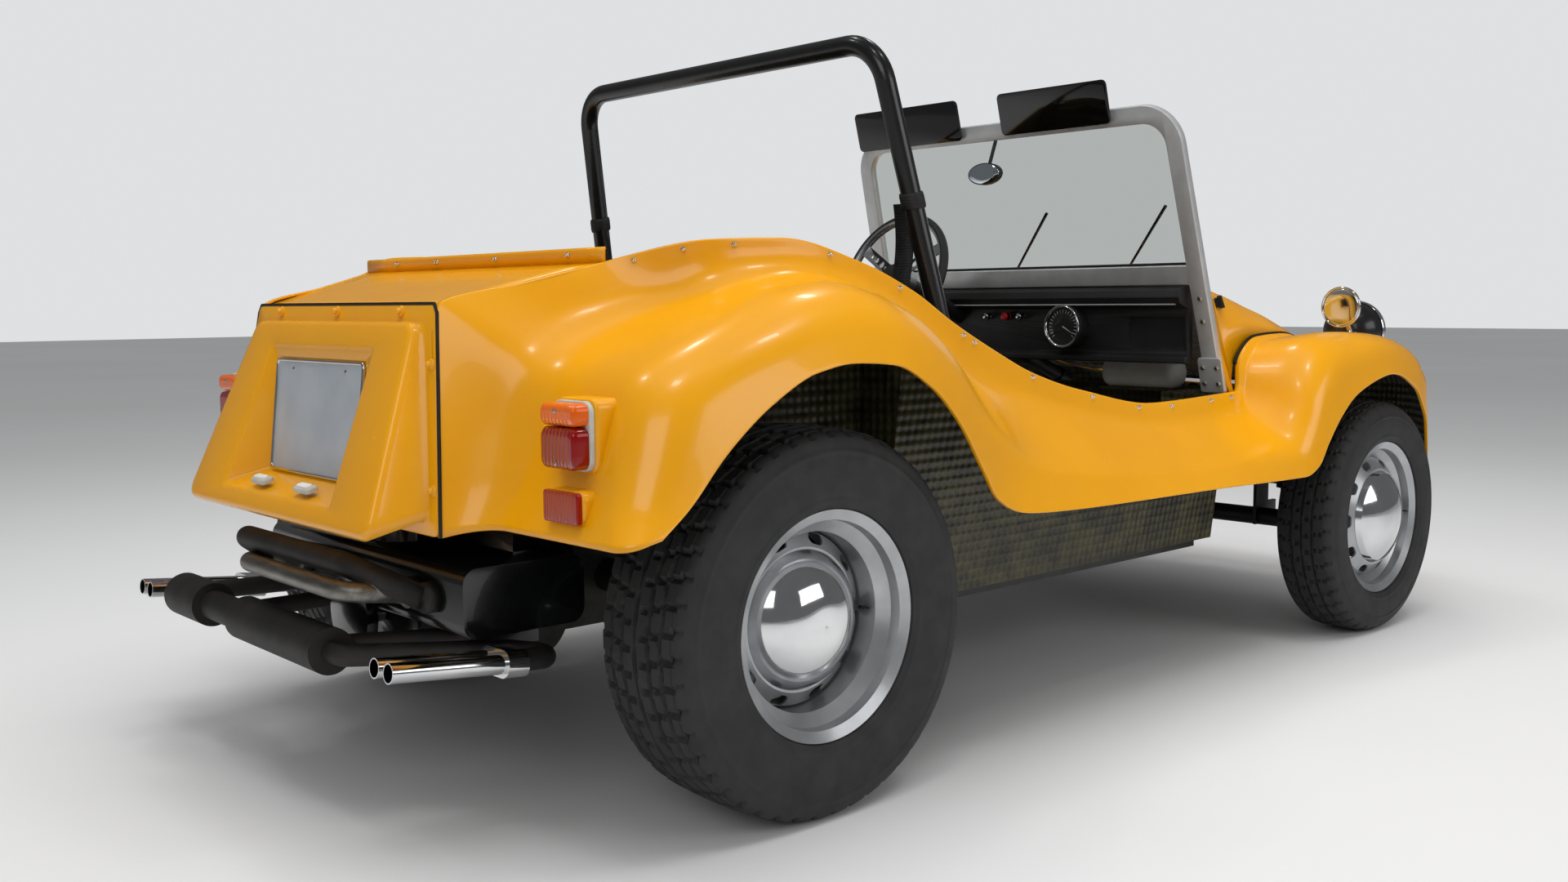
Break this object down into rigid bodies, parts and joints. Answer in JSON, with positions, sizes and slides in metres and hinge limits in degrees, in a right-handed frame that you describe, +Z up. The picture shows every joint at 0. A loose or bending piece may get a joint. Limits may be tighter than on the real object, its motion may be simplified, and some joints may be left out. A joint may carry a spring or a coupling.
{
  "type": "dune buggy",
  "caption": "Open two-plus-two beach buggy with a moulded yellow body, flat windscreen, roll bar, wide wheels and a rear engine with an open exhaust.",
  "frame": {"origin": "on the floor, midway between the axles and between the sides, at the bottom centre of the bounding box", "axes": "+X forward along the length, +Y to the driver's left, +Z up"},
  "size_m": [3.46, 1.7, 1.4683],
  "materials": {
    "aluminium_frame": "satin",
    "amber_red_lens": "gloss",
    "black_moulding": "satin",
    "black_steel": "satin",
    "black_vinyl": "satin",
    "cast_alloy": "matt",
    "chrome_trim": "gloss",
    "clear_glass": "gloss",
    "engine_iron": "matt",
    "gelcoat": "gloss",
    "mirror_face": "gloss",
    "plate_white": "satin",
    "silver_rim": "satin",
    "soft_rubber": "matt",
    "tinted_plastic": "gloss",
    "tub_laminate": "satin",
    "tyre_rubber": "matt",
    "white_plastic": "satin"
  },
  "bodies": {
    "chassis": {"body_shell": "gelcoat", "bonnet_hinge_brackets": "black_steel", "cockpit_tub": "tub_laminate", "dashboard": "black_moulding", "engine": "engine_iron", "engine_cover": "gelcoat", "exhaust_headers": "black_steel", "exhaust_tips": "chrome_trim", "fender_mirrors": "chrome_trim", "floorpan": "black_steel", "front_axle": "black_steel", "front_bumper": "black_steel", "front_indicators": "amber_red_lens", "gearbox": "cast_alloy", "instruments": "black_moulding", "interior_mirror": "mirror_face", "levers_and_pedals": "black_steel", "muffler": "black_steel", "number_plate": "plate_white", "plate_lamps": "chrome_trim", "rear_axle": "black_steel", "rear_bench": "black_vinyl", "roll_bar": "black_steel", "seat_pads": "black_vinyl", "seat_shells": "black_moulding", "shock_absorbers": "black_steel", "steering_column": "black_steel", "sun_visors": "tinted_plastic", "tail_lamps": "amber_red_lens", "tail_reflectors": "amber_red_lens", "washer_bottle": "white_plastic", "windscreen_frame": "aluminium_frame", "windscreen_glass": "clear_glass", "wipers": "black_steel"},
    "bonnet": {"bonnet": "gelcoat", "bonnet_hinge_arms": "black_steel", "bonnet_latches": "soft_rubber", "headlamp_lenses": "clear_glass", "headlamp_shells": "black_steel"},
    "wheel_front_left": {"hub_cap_front_left": "chrome_trim", "rim_front_left": "silver_rim", "tyre_front_left": "tyre_rubber"},
    "wheel_front_right": {"hub_cap_front_right": "chrome_trim", "rim_front_right": "silver_rim", "tyre_front_right": "tyre_rubber"},
    "wheel_rear_left": {"hub_cap_rear_left": "chrome_trim", "rim_rear_left": "silver_rim", "tyre_rear_left": "tyre_rubber"},
    "wheel_rear_right": {"hub_cap_rear_right": "chrome_trim", "rim_rear_right": "silver_rim", "tyre_rear_right": "tyre_rubber"},
    "knuckle_left": {"knuckle_left": "black_steel"},
    "knuckle_right": {"knuckle_right": "black_steel"},
    "steering_wheel": {"steering_wheel": "black_moulding"},
    "tie_rods": {"tie_rods": "black_steel"}
  },
  "joints": [
    {"name": "steer_left", "type": "hinge", "parent": "chassis", "child": "knuckle_left", "pos_m": [1.05, 0.585, 0.316], "axis": [0, 0, 1], "range_deg": [-30, 30]},
    {"name": "steer_right", "type": "hinge", "parent": "chassis", "child": "knuckle_right", "pos_m": [1.05, -0.585, 0.316], "axis": [0, 0, 1], "range_deg": [-30, 30]},
    {"name": "steering_wheel_turn", "type": "hinge", "parent": "chassis", "child": "steering_wheel", "pos_m": [0.205, 0.255, 0.984], "axis": [-0.9272, 0, 0.3746], "range_deg": [-468, 468]},
    {"name": "tie_rod_slide", "type": "slide", "parent": "chassis", "child": "tie_rods", "axis": [0, 1, 0], "range_m": [-0.066, 0.066]},
    {"name": "spin_front_left", "type": "hinge", "parent": "knuckle_left", "child": "wheel_front_left", "pos_m": [1.05, 0.7045, 0.316], "axis": [0, 1, 0], "continuous": true},
    {"name": "spin_front_right", "type": "hinge", "parent": "knuckle_right", "child": "wheel_front_right", "pos_m": [1.05, -0.7045, 0.316], "axis": [0, 1, 0], "continuous": true},
    {"name": "spin_rear_left", "type": "hinge", "parent": "chassis", "child": "wheel_rear_left", "pos_m": [-1.05, 0.671, 0.349], "axis": [0, 1, 0], "continuous": true},
    {"name": "spin_rear_right", "type": "hinge", "parent": "chassis", "child": "wheel_rear_right", "pos_m": [-1.05, -0.671, 0.349], "axis": [0, 1, 0], "continuous": true},
    {"name": "bonnet_open", "type": "hinge", "parent": "chassis", "child": "bonnet", "pos_m": [1.5, 0, 0.622], "axis": [0, 1, 0], "range_deg": [0, 50]}
  ],
  "couplings": [
    {"joint": "steer_right", "follows": "steer_left", "ratio": 1},
    {"joint": "steering_wheel_turn", "follows": "steer_left", "ratio": 15.6},
    {"joint": "tie_rod_slide", "follows": "steer_left", "m_per_rad": -0.124}
  ]
}
